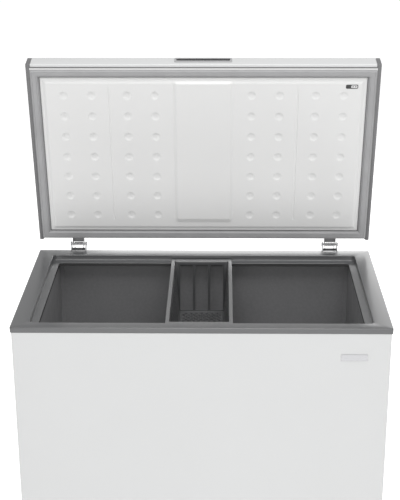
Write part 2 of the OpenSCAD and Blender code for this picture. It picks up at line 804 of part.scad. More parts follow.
outer_cabinet();
rear_panel();
base_pan();
cabinet_foam();
inner_liner();
top_frame();
machine_bay_panel();
evaporator_coil();
condenser_coil();
compressor();
compressor_mounts();
relay_cover();
filter_drier();
refrigerant_pipes();
bay_cover();
bay_cover_screws();
cord_gland();
side_grille();
control_panel();
indicator_lamps();
thermostat_body();
thermostat_sensor();
thermostat_spindle();
thermostat_knob();
drain_tube();
drain_cap();
drain_plug();
front_feet();
roller_brackets();
roller_axles();
roller_left();
roller_right();
hinge_bracket_left();
hinge_bracket_right();
hinge_pin_left();
hinge_pin_right();
hinge_springs();
hinge_screws();
front_badge();
lid_skin();
lid_foam();
lid_liner();
lid_gasket();
lid_cap_left();
lid_cap_right();
handle_bezel();
handle_cup();
lid_label();
hinge_leaf_left();
hinge_leaf_right();
leaf_screws();
basket();
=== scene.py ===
"""The looks of a chest freezer with its lid raised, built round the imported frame. Lengths are in millimetres."""

import json
import math

import bmesh
import bpy
import numpy as np
from mathutils import Matrix, Vector

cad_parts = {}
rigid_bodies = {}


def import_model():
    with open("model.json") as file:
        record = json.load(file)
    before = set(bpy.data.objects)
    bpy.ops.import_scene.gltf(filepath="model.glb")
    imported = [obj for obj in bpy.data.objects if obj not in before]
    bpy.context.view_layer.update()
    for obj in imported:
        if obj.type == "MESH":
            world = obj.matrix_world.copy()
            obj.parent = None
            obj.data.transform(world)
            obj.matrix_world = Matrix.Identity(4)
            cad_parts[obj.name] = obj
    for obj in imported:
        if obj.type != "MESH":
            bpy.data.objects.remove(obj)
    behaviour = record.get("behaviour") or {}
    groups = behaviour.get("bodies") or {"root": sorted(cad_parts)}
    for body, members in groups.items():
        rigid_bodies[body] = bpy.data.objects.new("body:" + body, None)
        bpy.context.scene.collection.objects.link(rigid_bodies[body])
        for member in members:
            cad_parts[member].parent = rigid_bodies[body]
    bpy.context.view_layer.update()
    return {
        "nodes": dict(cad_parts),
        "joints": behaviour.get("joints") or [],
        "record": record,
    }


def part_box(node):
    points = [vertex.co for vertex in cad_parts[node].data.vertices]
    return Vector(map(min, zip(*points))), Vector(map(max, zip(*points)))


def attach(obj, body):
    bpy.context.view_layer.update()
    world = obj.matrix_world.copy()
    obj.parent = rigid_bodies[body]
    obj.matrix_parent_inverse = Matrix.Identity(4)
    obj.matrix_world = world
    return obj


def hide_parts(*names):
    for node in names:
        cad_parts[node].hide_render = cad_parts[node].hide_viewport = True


for leftover in list(bpy.data.objects):
    bpy.data.objects.remove(leftover)
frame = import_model()

MM = 0.001
RECORD = frame["record"]
SLOT_OF = {part["node"]: part["material_slot"] for part in RECORD["subparts"]}

# Camera: where it stands, how it looks at the freezer, and its lens
CAMERA_PLACE = (0.0623, -4.0774, 2.4421)
CAMERA_PITCH = 20.824
CAMERA_YAW = -1.012
CAMERA_ROLL = -0.196
CAMERA_LENS = 85.92

# Top frame
FRAME_T, SHADED_DRIP_T = 3.0, 2.4
RIM_SIDE, RIM_FRONT, RIM_BACK = 61.0, 44.0, 56.0
LEDGE_DROP, LEDGE_W, LEDGE_BACK = 20.0, 26.0, 33.0
LIP_H, OVERHANG = 20.0, 4.0
RIM_R, HOLE_R, LEDGE_R = 6.0, 15.0, 17.0

# Cavity, measured inwards from the top frame's sides
WALL_SIDE, WALL_FRONT, WALL_BACK = 84.0, 67.0, 40.0
STEP_W, STEP_Z, FLOOR_Z = 237.0, 320.0, 85.0
CAVITY_R, CORNER_FLAT, NOSE_R = 20.0, 14.0, 3.0

# Lid, in its own frame: x to the right, y from its back edge (0) to its front (-LID_L), z out of its
# outer face
LID_L, LID_T, EDGE_R = 731.0, 70.0, 3.5
PIN_BACK, PIN_UP = 29.0, 7.6
HEM_Z = 2.2
HEM_W = 9.5
GASKET_W, FRONT_LIMB = 32.0, 26.0
GASKET_DROP = 9.8
LABEL_Y, LABEL_Z = -649.0, -8.2
BEZEL_W, BEZEL_H, BEZEL_Z = 212.0, 42.0, 43.0
GRIP_W, GRIP_H, GRIP_Z, GRIP_D = 197.0, 22.0, 49.0, 28.0

# Basket
RAIL_W = 14.0
BASKET_T = 2.5
DRAFT_X, DRAFT_Y = 0.84, 0.962


# ---- measuring ----

def edges(node):
    """A CAD node's limits: x0, x1, y0, y1, z0, z1."""
    low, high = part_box(node)
    return [v / MM for pair in zip(low, high) for v in pair]


def smooth(t):
    """0 below 0, 1 above 1, and a soft curve between."""
    t = np.clip(t, 0, 1)
    return t * t * (3 - 2 * t)


# ---- mesh tools ----

def inset(e, d):
    """An outline [x0, x1, y0, y1, corner radius], moved inwards by d."""
    return [e[0] + d, e[1] - d, e[2] + d, e[3] - d, max(e[4] - d, 0.4)]


def rounded(e, steps=8):
    """Points round an outline, counter-clockwise."""
    x0, x1, y0, y1, r = e
    points = []
    corners = ((x1 - r, y1 - r, 0), (x0 + r, y1 - r, 90), (x0 + r, y0 + r, 180), (x1 - r, y0 + r, 270))
    for cx, cy, start in corners:
        for i in range(steps + 1):
            a = math.radians(start + 90 * i / steps)
            points.append((cx + r * math.cos(a), cy + r * math.sin(a)))
    return points


def quarter(p, q, upright, steps=5):
    """Points of a quarter ellipse after p and up to q. It leaves p upright, or else level."""
    points = []
    for i in range(1, steps + 1):
        a = math.radians(90 * i / steps)
        c, s = math.cos(a), math.sin(a)
        if upright:
            points.append((q[0] + (p[0] - q[0]) * c, p[1] + (q[1] - p[1]) * s))
        else:
            points.append((p[0] + (q[0] - p[0]) * s, q[1] + (p[1] - q[1]) * c))
    return points


def rings_of(e, profile):
    """One ring of points for each (inset, height) of the profile."""
    return [[(x, y, z) for x, y in rounded(inset(e, d))] for d, z in profile]


def loft(rings, closed=False, start=False, end=False):
    """Vertices and faces through rings of equally many points, with caps where asked."""
    n, count = len(rings[0]), len(rings)
    verts = [p for ring in rings for p in ring]
    faces = []
    for i in range(count if closed else count - 1):
        a, b = i * n, (i + 1) % count * n
        faces += [(a + k, a + (k + 1) % n, b + (k + 1) % n, b + k) for k in range(n)]
    if start:
        faces.append(tuple(range(n)))
    if end:
        faces.append(tuple(range((count - 1) * n, count * n)))
    return verts, faces


def joined(*parts):
    """Several (vertices, faces) as one."""
    verts, faces = [], []
    for v, f in parts:
        faces += [tuple(i + len(verts) for i in face) for face in f]
        verts += [tuple(p) for p in v]
    return verts, faces


def mapped(part, where):
    """A part with every vertex moved by where(x, y, z)."""
    return [where(*p) for p in part[0]], part[1]


def clean(mesh):
    """Joins doubled vertices and turns all faces outwards."""
    bm = bmesh.new()
    bm.from_mesh(mesh)
    bmesh.ops.remove_doubles(bm, verts=bm.verts, dist=0.01)
    bmesh.ops.recalc_face_normals(bm, faces=bm.faces)
    bm.to_mesh(mesh)
    bm.free()


def plate(outlines, thickness, bevel):
    """A flat plate with rounded edges on the XY plane. The first outline is its rim, the others are holes."""
    curve = bpy.data.curves.new("plate", "CURVE")
    curve.dimensions = "2D"
    curve.fill_mode = "BOTH"
    curve.extrude = thickness / 2 - bevel
    curve.bevel_depth = bevel
    curve.bevel_resolution = 1
    curve.offset = -bevel
    for i, points in enumerate(outlines):
        spline = curve.splines.new("POLY")
        spline.points.add(len(points) - 1)
        ordered = points if i == 0 else points[::-1]
        spline.points.foreach_set("co", [c for x, y in ordered for c in (x, y, 0, 1)])
        spline.use_cyclic_u = True
    holder = bpy.data.objects.new("plate", curve)
    mesh = holder.to_mesh()
    part = [tuple(v.co) for v in mesh.vertices], [tuple(p.vertices) for p in mesh.polygons]
    holder.to_mesh_clear()
    bpy.data.objects.remove(holder)
    bpy.data.curves.remove(curve)
    return part


def block(x0, x1, y0, y1, z0, z1):
    """A plain box, used to cut with."""
    e = [(x, y) for x, y in ((x0, y0), (x1, y0), (x1, y1), (x0, y1))]
    return loft([[(x, y, z) for x, y in e] for z in (z0, z1)], start=True, end=True)


def disc(x, y, z0, z1, r, sides=40):
    """A plain upright cylinder, used to cut with."""
    turn = [2 * math.pi * k / sides for k in range(sides)]
    return loft([[(x + r * math.cos(a), y + r * math.sin(a), z) for a in turn] for z in (z0, z1)],
                start=True, end=True)


def mesh_of(name, part):
    mesh = bpy.data.meshes.new(name)
    mesh.from_pydata([tuple(map(float, p)) for p in part[0]], [], part[1])
    clean(mesh)
    return mesh


def evaluated(obj):
    """The object's mesh with its modifiers applied."""
    bpy.context.view_layer.update()
    return bpy.data.meshes.new_from_object(obj.evaluated_get(bpy.context.evaluated_depsgraph_get()))


def cut(mesh, *cutters):
    """The mesh with each cutter taken away from it."""
    obj = bpy.data.objects.new("cut", mesh)
    bpy.context.scene.collection.objects.link(obj)
    tools = []
    for part in cutters:
        tool = bpy.data.objects.new("tool", mesh_of("tool", part))
        bpy.context.scene.collection.objects.link(tool)
        modifier = obj.modifiers.new("cut", "BOOLEAN")
        modifier.operation = "DIFFERENCE"
        modifier.solver = "EXACT"
        modifier.object = tool
        tools.append(tool)
    result = evaluated(obj)
    for o in [obj, *tools]:
        bpy.data.objects.remove(o)
    return result


def piece(name, mesh, slot, body, *nodes, place=None, sharp=32):
    """Finishes a mesh as a piece that rides on a body and stands for CAD nodes."""
    if place is not None:
        mesh.transform(place)
    mesh.transform(Matrix.Diagonal((MM, MM, MM, 1)))
    mesh.name = name
    mesh.materials.clear()
    mesh.materials.append(LOOKS[slot])
    mesh.shade_smooth()
    mesh.set_sharp_from_angle(angle=math.radians(sharp))
    obj = bpy.data.objects.new(name, mesh)
    bpy.context.scene.collection.objects.link(obj)
    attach(obj, body)
    if nodes:
        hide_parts(*nodes)
    return obj


# ---- materials ----

class Look:
    """A Principled material under construction, with object coordinates in metres."""

    def __init__(self, name, roughness, metallic=0.0, specular=0.5, coat=0.0, coat_roughness=0.1):
        self.material = bpy.data.materials.new(name)
        self.material.use_nodes = True
        self.nodes = self.material.node_tree.nodes
        self.shader = self.nodes["Principled BSDF"]
        self.place = self.nodes.new("ShaderNodeTexCoord").outputs["Object"]
        constants = {"Roughness": roughness, "Metallic": metallic, "Specular IOR Level": specular,
                     "Coat Weight": coat, "Coat Roughness": coat_roughness}
        for socket, value in constants.items():
            self.shader.inputs[socket].default_value = value

    def link(self, a, b):
        self.material.node_tree.links.new(a, b)

    def noise(self, scale, detail=2.0, stretch=None, distortion=0.0):
        node = self.nodes.new("ShaderNodeTexNoise")
        node.inputs["Scale"].default_value = scale
        node.inputs["Detail"].default_value = detail
        node.inputs["Distortion"].default_value = distortion
        self.link(self.stretched(stretch), node.inputs["Vector"])
        return node.outputs["Fac"]

    def cells(self, scale, feature="F1", output="Distance", stretch=None):
        node = self.nodes.new("ShaderNodeTexVoronoi")
        node.feature = feature
        node.inputs["Scale"].default_value = scale
        self.link(self.stretched(stretch), node.inputs["Vector"])
        return node.outputs[output]

    def stretched(self, stretch):
        if stretch is None:
            return self.place
        node = self.nodes.new("ShaderNodeMapping")
        node.inputs["Scale"].default_value = stretch
        self.link(self.place, node.inputs["Vector"])
        return node.outputs["Vector"]

    def spread(self, value, low, high, start=0.3, stop=0.7):
        """The value mapped from start...stop to low...high."""
        node = self.nodes.new("ShaderNodeMapRange")
        for socket, number in (("From Min", start), ("From Max", stop), ("To Min", low), ("To Max", high)):
            node.inputs[socket].default_value = number
        self.link(value, node.inputs["Value"])
        return node.outputs["Result"]

    def total(self, a, b, share=0.5):
        """A sum of a and share times b."""
        node = self.nodes.new("ShaderNodeMath")
        node.operation = "MULTIPLY_ADD"
        self.link(b, node.inputs[0])
        node.inputs[1].default_value = share
        self.link(a, node.inputs[2])
        return node.outputs["Value"]

    def tint(self, dark, light, value, start=0.3, stop=0.7):
        """Base colour from dark to light with the value."""
        node = self.nodes.new("ShaderNodeMix")
        node.data_type = "RGBA"
        node.inputs["A"].default_value = (*dark, 1)
        node.inputs["B"].default_value = (*light, 1)
        self.link(self.spread(value, 0, 1, start, stop), node.inputs["Factor"])
        self.link(node.outputs["Result"], self.shader.inputs["Base Color"])

    def polish(self, value, low, high, start=0.3, stop=0.7):
        """Roughness from low to high with the value."""
        self.link(self.spread(value, low, high, start, stop), self.shader.inputs["Roughness"])

    def relief(self, height, depth, strength=1.0):
        """Bump of a height field, depth metres deep."""
        node = self.nodes.new("ShaderNodeBump")
        node.inputs["Strength"].default_value = strength
        node.inputs["Distance"].default_value = depth
        self.link(height, node.inputs["Height"])
        self.link(node.outputs["Normal"], self.shader.inputs["Normal"])


def shades(colour, spread):
    """A colour a little darker and a little lighter."""
    return tuple(c * (1 - spread) for c in colour), tuple(min(c * (1 + spread), 1) for c in colour)


def painted(name, colour, roughness=0.38, spread=0.008, coat=0.15):
    """Powder paint on sheet steel: a faint orange peel, and slow changes of gloss."""
    look = Look(name, roughness, coat=coat, coat_roughness=0.25)
    slow = look.noise(1.7, 2)
    look.tint(*shades(colour, spread), slow)
    look.polish(look.total(slow, look.noise(120, 2), 0.3), roughness - 0.02, roughness + 0.03, 0.3, 1.0)
    look.relief(look.noise(380, 1), 0.00005, 0.25)
    return look.material


def moulded(name, colour, roughness=0.4, spread=0.03, grain=900, depth=0.00003, specular=0.5, coat=0.0):
    """Moulded plastic: a fine spark-eroded grain, with slow flow marks that change its gloss."""
    look = Look(name, roughness, specular=specular, coat=coat, coat_roughness=0.3)
    flow = look.noise(3, 2)
    look.tint(*shades(colour, spread), flow)
    look.polish(look.total(flow, look.noise(150, 2), 0.3), roughness - 0.03, roughness + 0.05, 0.3, 1.0)
    look.relief(look.noise(grain, 2), depth, 0.4)
    return look.material


def rubber(name, colour, roughness=0.62):
    """Rubber with a dusty bloom."""
    look = Look(name, roughness, specular=0.35)
    bloom = look.noise(14, 3)
    look.tint(*shades(colour, 0.05), bloom)
    look.polish(bloom, roughness - 0.05, roughness + 0.06)
    look.relief(look.noise(700, 2), 0.00005, 0.4)
    return look.material


def brushed(name, colour, roughness=0.3, along=(1, 60, 60), spread=0.08):
    """Metal with fine parallel scratches."""
    look = Look(name, roughness, metallic=1.0)
    lines = look.noise(40, 6, stretch=along)
    look.tint(*shades(colour, spread), lines)
    look.polish(lines, roughness - 0.1, roughness + 0.14)
    look.relief(lines, 0.00004, 0.5)
    return look.material


def galvanised(name, colour):
    """Zinc-coated sheet with its crystal spangle."""
    look = Look(name, 0.42, metallic=0.85)
    spangle = look.cells(70, output="Color")
    look.tint(*shades(colour, 0.09), spangle, 0.0, 1.0)
    look.polish(look.total(spangle, look.noise(30, 4), 0.5), 0.3, 0.55, 0.0, 1.4)
    look.relief(look.noise(240, 4), 0.00005, 0.5)
    return look.material


def stucco(name, colour):
    """Stucco-embossed aluminium sheet."""
    look = Look(name, 0.4, metallic=0.35, specular=0.5)
    pebbles = look.cells(95, feature="SMOOTH_F1")
    slow = look.noise(3, 2)
    look.tint(*shades(colour, 0.12), look.total(slow, pebbles, -0.25), 0.1, 0.6)
    look.polish(look.noise(18, 3), 0.36, 0.46)
    look.relief(pebbles, 0.0005, 0.5)
    return look.material


def foam_like(name, colour):
    """Cut polyurethane foam with open pores, their hollows darkened as painted shade."""
    look = Look(name, 0.9, specular=0.2)
    pores = look.cells(420)
    # Painted shade: the colour follows the pore depth and is darker in each hollow.
    look.tint(*shades(colour, 0.12), look.total(pores, look.noise(12, 5), 0.6), 0.1, 0.9)
    look.polish(pores, 0.82, 0.98, 0, 0.8)
    look.relief(pores, 0.0006, 0.8)
    return look.material


def copper_like(name, colour):
    """Drawn copper tube with patches of oxide."""
    look = Look(name, 0.34, metallic=1.0)
    oxide = look.noise(38, 6, distortion=1.2)
    dark = tuple(c * 0.5 for c in colour)
    look.tint(dark, colour, oxide, 0.34, 0.56)
    look.polish(oxide, 0.55, 0.25)
    look.relief(look.noise(500, 3), 0.00005, 0.5)
    return look.material


def lens(name, colour):
    """Tinted clear plastic over a lamp."""
    look = Look(name, 0.12, coat=0.6, coat_roughness=0.05)
    flow = look.noise(160, 2)
    look.tint(*shades(colour, 0.2), flow)
    look.polish(flow, 0.08, 0.2)
    look.relief(look.noise(700, 2), 0.00005, 0.4)
    return look.material


COLOURS = {m["slot"]: tuple(m["base_color"]) for m in RECORD["materials"]}
COLOURS.update(
    white_steel=(0.46, 0.464, 0.464),
    white_plastic=(0.54, 0.54, 0.537),
    frame_plastic=(0.048, 0.049, 0.051),
    liner_sheet=(0.24, 0.24, 0.245),
    basket_plastic=(0.05, 0.051, 0.053),
    cap_plastic=(0.12, 0.12, 0.123),
    bezel_plastic=(0.27, 0.27, 0.275),
    hinge_steel=(0.27, 0.27, 0.275),
    bright_steel=(0.4, 0.4, 0.41),
    gasket_rubber=(0.27, 0.27, 0.274),
)
MAKERS = {
    "white_steel": painted,
    "galvanised_steel": galvanised,
    "foam": foam_like,
    "liner_sheet": stucco,
    "frame_plastic": lambda n, c: moulded(n, c, 0.3, 0.03, specular=0.7, coat=0.7),
    "copper": copper_like,
    "black_steel": lambda n, c: painted(n, c, 0.36, 0.2),
    "black_plastic": lambda n, c: moulded(n, c, 0.5, 0.15),
    "black_rubber": rubber,
    "white_plastic": lambda n, c: moulded(n, c, 0.36, 0.012),
    "lamp_lens": lens,
    "bright_steel": lambda n, c: brushed(n, c, 0.24),
    "roller_plastic": lambda n, c: moulded(n, c, 0.5, 0.12),
    "hinge_steel": lambda n, c: painted(n, c, 0.34, 0.14),
    "gasket_rubber": rubber,
    "cap_plastic": lambda n, c: moulded(n, c, 0.38, 0.08),
    "bezel_plastic": lambda n, c: moulded(n, c, 0.3, 0.06),
    "basket_plastic": lambda n, c: moulded(n, c, 0.34, 0.06, specular=0.8, coat=1.0),
}
LOOKS = {slot: MAKERS[slot](slot, COLOURS[slot]) for slot in COLOURS}
for node, obj in frame["nodes"].items():
    obj.data.materials.clear()
    obj.data.materials.append(LOOKS[SLOT_OF[node]])


# ---- outlines that the pieces share ----

LEFT, RIGHT, FRONT, BACK, _, RIM_Z = edges("top_frame")
RIM_OUTER = [LEFT, RIGHT, FRONT, BACK, RIM_R]
RIM_HOLE = [LEFT + RIM_SIDE, RIGHT - RIM_SIDE, FRONT + RIM_FRONT, BACK - RIM_BACK, HOLE_R]
LEDGE_HOLE = [RIM_HOLE[0] + LEDGE_W, RIM_HOLE[1] - LEDGE_W, RIM_HOLE[2] + LEDGE_W, RIM_HOLE[3] - LEDGE_BACK,
              LEDGE_R]
LEDGE_Z = RIM_Z - LEDGE_DROP
CAVITY = [LEFT + WALL_SIDE, RIGHT - WALL_SIDE, FRONT + WALL_FRONT, BACK - WALL_BACK]

HINGE = next(j for j in frame["joints"] if j["name"] == "lid_hinge")
LID_OPEN = HINGE["range_deg"][0]
LID_PLACE = (Matrix.Translation(Vector(HINGE["pos_m"]) / MM)
             @ Matrix.Rotation(math.radians(LID_OPEN), 4, "X")
             @ Matrix.Translation((0, -PIN_BACK, -PIN_UP)))
SKIN_HALF = edges("lid_skin")[1]
CAP_OUT = edges("lid_cap_right")[1]
GASKET_HALF = edges("lid_gasket")[1]
GASKET = [-GASKET_HALF, GASKET_HALF, -LID_L + 14, -4, 3]
PANEL = [-GASKET_HALF + GASKET_W + 3, GASKET_HALF - GASKET_W - 3, -LID_L + 17 + GASKET_W, -7 - GASKET_W, 5]


# ---- cabinet ----

def top_frame():
    """The moulded collar round the mouth: outer lip, flat rim, riser, basket ledge and drip lip. The drip lip is
    real, but its dark plastic paints the shade of the gap under the ledge edge.
    """
    top, ledge, low = RIM_Z, LEDGE_Z, edges("top_frame")[4]
    lip = top - LIP_H
    outer = [(FRAME_T, lip), (0.8, lip), *quarter((0.8, lip), (0, lip + 0.8), False, 2), (0, top - 2.4),
             *quarter((0, top - 2.4), (2.4, top), True, 4)]
    riser = [(-2.5, top), *quarter((-2.5, top), (0, top - 2.5), False), (0, ledge + 1.5),
             *quarter((0, ledge + 1.5), (1.5, ledge), True, 3)]
    ledge_edge = [(-1.2, ledge), *quarter((-1.2, ledge), (0, ledge - 1.2), False, 3), (0, ledge - 2.5),
                  (-1, ledge - FRAME_T)]
    under = [(-FRAME_T, ledge - FRAME_T), (-FRAME_T, top - FRAME_T)]
    rings = (rings_of(RIM_OUTER, outer) + rings_of(RIM_HOLE, riser) + rings_of(LEDGE_HOLE, ledge_edge)
             + rings_of(RIM_HOLE, under) + rings_of(RIM_OUTER, [(FRAME_T, top - FRAME_T)]))
    collar = mesh_of("top_collar", loft(rings, closed=True))
    piece("top_collar", collar, "frame_plastic", "cabinet", "top_frame")
    # Painted shade: the drip lip is made of dark plastic so that it stands in for the shadow of the gap between
    # the ledge edge and the tank wall.
    drip_shade = loft(rings_of(LEDGE_HOLE, [(-0.2, ledge - 2.4), (-0.2, low + 0.6), (-0.8, low), (-SHADED_DRIP_T, low),
                                      (-SHADED_DRIP_T, ledge - 2.4)]), closed=True)
    piece("drip_lip", mesh_of("drip_lip", drip_shade), "black_plastic", "cabinet")
    reach = OVERHANG + 1
    shelf = loft(rings_of(RIM_OUTER, [(1, lip + 0.1), (reach, lip + 0.1), (reach, lip + FRAME_T),
                                      (1, lip + FRAME_T)]), closed=True)
    piece("lip_shelf", mesh_of("lip_shelf", shelf), "frame_plastic", "cabinet")


def liner():
    """The embossed tank, with round corners and the step over the machine bay."""
    x0, x1, y0, y1 = CAVITY
    top = edges("inner_liner")[5]
    nose_x = x1 - STEP_W
    profile = [(x0, FLOOR_Z), (nose_x, FLOOR_Z), (nose_x, STEP_Z), (x1, STEP_Z), (x1, top), (x0, top)]
    mesh = mesh_of("tank", loft([[(x, y, z) for x, z in profile] for y in (y0, y1)], start=True, end=True))
    bm = bmesh.new()
    bm.from_mesh(mesh)

    def soften(chosen, offset, segments):
        bmesh.ops.bevel(bm, geom=chosen, offset=offset, segments=segments, profile=0.5, affect="EDGES",
                        clamp_overlap=True)

    def nose(e):
        return all(abs(v.co.x - nose_x) < 1 and abs(v.co.z - STEP_Z) < 1 for v in e.verts)

    soften([e for e in bm.edges if max(v.co.z for v in e.verts) > top - 1 > min(v.co.z for v in e.verts)],
           CORNER_FLAT, 1)
    soften([e for e in bm.edges if max(v.co.z for v in e.verts) < top - 1 and not nose(e)], CAVITY_R, 7)
    soften([e for e in bm.edges if nose(e)], NOSE_R, 3)
    bmesh.ops.delete(bm, geom=[f for f in bm.faces if f.calc_center_median().z > top - 0.1], context="FACES")
    bmesh.ops.reverse_faces(bm, faces=bm.faces)
    bm.to_mesh(mesh)
    bm.free()
    obj = bpy.data.objects.new("tank", mesh)
    bpy.context.scene.collection.objects.link(obj)
    thick = obj.modifiers.new("sheet", "SOLIDIFY")
    thick.thickness = 1.0
    thick.offset = -1
    made = evaluated(obj)
    bpy.data.objects.remove(obj)
    cx0, cx1, cy0, cy1, _, _ = edges("drain_plug")
    made = cut(made, disc((cx0 + cx1) / 2, (cy0 + cy1) / 2, FLOOR_Z - 5, FLOOR_Z + 5, 8))
    piece("tank", made, "liner_sheet", "cabinet", "inner_liner")


# ---- lid ----

def strip(path, t):
    """A closed outline t thick to the left of a path."""
    inner = []
    for i, p in enumerate(path):
        a, b = path[max(i - 1, 0)], path[min(i + 1, len(path) - 1)]
        d = math.hypot(b[0] - a[0], b[1] - a[1])
        inner.append((p[0] - (b[1] - a[1]) / d * t, p[1] + (b[0] - a[0]) / d * t))
    return path + inner[::-1]


def lid_shell():
    """The folded steel cover of the lid, with the slot for the grip."""
    y = -LID_L
    path = [(y + HEM_W, HEM_Z), (y + 3, HEM_Z), *quarter((y + 3, HEM_Z), (y, HEM_Z + 3), False, 4),
            (y, LID_T - EDGE_R),
            *quarter((y, LID_T - EDGE_R), (y + EDGE_R, LID_T), True, 6), (-EDGE_R, LID_T),
            *quarter((-EDGE_R, LID_T), (0, LID_T - EDGE_R), False, 6), (0, HEM_Z)]
    section = strip(path, -1.0)
    mesh = mesh_of("lid_cover", loft([[(x, p, q) for p, q in section] for x in (-SKIN_HALF, SKIN_HALF)],
                                     start=True, end=True))
    mesh = cut(mesh, block(-GRIP_W / 2 - 1.5, GRIP_W / 2 + 1.5, y - 9, y + 5, GRIP_Z - GRIP_H / 2 - 1.5,
                           GRIP_Z + GRIP_H / 2 + 1.5))
    piece("lid_cover", mesh, "white_steel", "lid", "lid_skin", place=LID_PLACE)


DENT_X = (178.0, 281.0, 413.0, 516.0)
DENT_A = [112 + 83.5 * i for i in range(7)]
DENT_R, DENT_DEPTH = 17.0, 2.2
CREASE_X, CREASE_FROM, CREASE_TO = 348.0, 90.0, 644.0
MIDDLE_RISE, MIDDLE_SIDE, MIDDLE_FROM = 5.5, 113.0, 79.0


def field_lines(low, high, coarse, zones):
    """Grid lines from low to high: coarse apart, and finer inside the zones (start, stop, pitch)."""
    lines, p = [low], low
    while p < high - 1e-6:
        pitch = min([z[2] for z in zones if z[0] - 1e-6 <= p < z[1]], default=coarse)
        ahead = min([z[0] for z in zones if z[0] > p + 1e-6], default=high)
        p = min(p + pitch, ahead if ahead - p < pitch else p + pitch, high)
        lines.append(p)
    return np.array(lines)


def dent_field(x, y):
    """How far the lid's inner sheet stands out at (x, y)."""
    a = -y
    cx, cy = (PANEL[0] + PANEL[1]) / 2, (PANEL[2] + PANEL[3]) / 2
    qx = np.abs(x - cx) - ((PANEL[1] - PANEL[0]) / 2 - PANEL[4])
    qy = np.abs(y - cy) - ((PANEL[3] - PANEL[2]) / 2 - PANEL[4])
    inside = PANEL[4] - np.hypot(np.maximum(qx, 0), np.maximum(qy, 0)) - np.minimum(np.maximum(qx, qy), 0)
    plateau = smooth((inside - 9) / 13)
    h = 3 * smooth(inside / 3) + 5 * plateau
    middle = smooth((MIDDLE_SIDE - np.abs(x)) / 15)
    h = h + MIDDLE_RISE * middle * np.clip((a - MIDDLE_FROM) / 17, 0, 1) * plateau
    crease = np.maximum(1 - (np.abs(x) - CREASE_X) ** 2 / 9, 0)
    h = h - 1.5 * crease * smooth((a - CREASE_FROM) / 6) * smooth((CREASE_TO - a) / 6)
    for dx in DENT_X:
        for da in DENT_A:
            away = ((np.abs(x) - dx) ** 2 + (a - da) ** 2) / DENT_R ** 2
            h = h - DENT_DEPTH * smooth(1 - away) * (away < 1)
    return -h


def lid_inner_sheet():
    """The moulded inner sheet: a raised field with round dents, two creases and a middle panel."""
    x0, x1, y0, y1, _ = GASKET
    zones = [(s * v - 19, s * v + 19, 2.4) for v in DENT_X for s in (-1, 1)]
    zones += [(s * CREASE_X - 5, s * CREASE_X + 5, 1.2) for s in (-1, 1)]
    zones += [(s * 104 - 12, s * 104 + 12, 3) for s in (-1, 1)]
    zones += [(PANEL[0] - 2, PANEL[0] + 26, 2), (PANEL[1] - 26, PANEL[1] + 2, 2)]
    xs = field_lines(x0, x1, 9, sorted(zones))
    zones = [(-a - 19, -a + 19, 2.4) for a in DENT_A] + [(-98, -78, 3)]
    zones += [(PANEL[2] - 2, PANEL[2] + 26, 2), (PANEL[3] - 26, PANEL[3] + 2, 2)]
    ys = field_lines(y0, y1, 9, sorted(zones))
    gx, gy = np.meshgrid(xs, ys)
    gz = dent_field(gx, gy)
    nx, ny = len(xs), len(ys)
    verts = list(zip(gx.ravel(), gy.ravel(), gz.ravel()))
    faces = [(j * nx + i, j * nx + i + 1, (j + 1) * nx + i + 1, (j + 1) * nx + i)
             for j in range(ny - 1) for i in range(nx - 1)]
    border = ([i for i in range(nx)] + [j * nx + nx - 1 for j in range(1, ny)]
              + [(ny - 1) * nx + i for i in range(nx - 2, -1, -1)] + [j * nx for j in range(ny - 2, 0, -1)])
    first = len(verts)
    verts += [(verts[i][0], verts[i][1], 2.0) for i in border]
    n = len(border)
    faces += [(border[k], border[(k + 1) % n], first + (k + 1) % n, first + k) for k in range(n)]
    faces.append(tuple(range(first, first + n)))
    piece("lid_inner_sheet", mesh_of("lid_inner_sheet", (verts, faces)), "white_plastic", "lid", "lid_liner",
          place=LID_PLACE, sharp=50)


def gasket():
    """The magnetic seal: a flat foot with a soft bulb and two fine grooves."""
    low = -GASKET_DROP
    half = [(0, 0), (0, -2.4), *quarter((0, -2.4), (0.6, -3), True, 2), (2.4, -3), (3.0, -3.6),
            (3.4, low + 3), *quarter((3.4, low + 3), (6.4, low), True, 4), (8.2, low), (8.8, low + 0.9),
            (9.4, low)]
    profile = half + [(GASKET_W - d, z) for d, z in half[::-1]]
    inner = GASKET[2] + GASKET_W

    def narrowed(x, y, z):
        return x, (y if y > inner else inner - (inner - y) * FRONT_LIMB / GASKET_W), z

    ring = mapped(loft(rings_of(GASKET, profile), closed=True), narrowed)
    piece("door_seal", mesh_of("door_seal", ring), "gasket_rubber", "lid", "lid_gasket", place=LID_PLACE)


def seal_channel():
    """The channel that holds the seal, in dark plastic: its two edges show beside the seal as narrow dark strips,
    painted shade for the shadowed grooves on both sides of the seal.
    """
    # Painted shade: these strips are dark plastic standing in for the shadow in the grooves beside the seal. The
    # channel itself is real.
    rim = [GASKET[0] - 8, GASKET[1] + 8, GASKET[2] - 4.5, GASKET[3] + 2, 3]
    outer = mapped(plate([rounded(rim), rounded(inset(GASKET, 12))], 1.2, 0.2),
                   lambda x, y, w: (x, y, 1.4 + w))
    inner = loft(rings_of(GASKET, [(GASKET_W - 2, -0.2), (GASKET_W - 2, -0.7), (GASKET_W + 3.4, -0.7),
                                   (GASKET_W + 3.4, -0.2)]), closed=True)
    channel_shade = mesh_of("seal_channel", joined(outer, inner))
    piece("seal_channel", channel_shade, "cap_plastic", "lid", place=LID_PLACE)


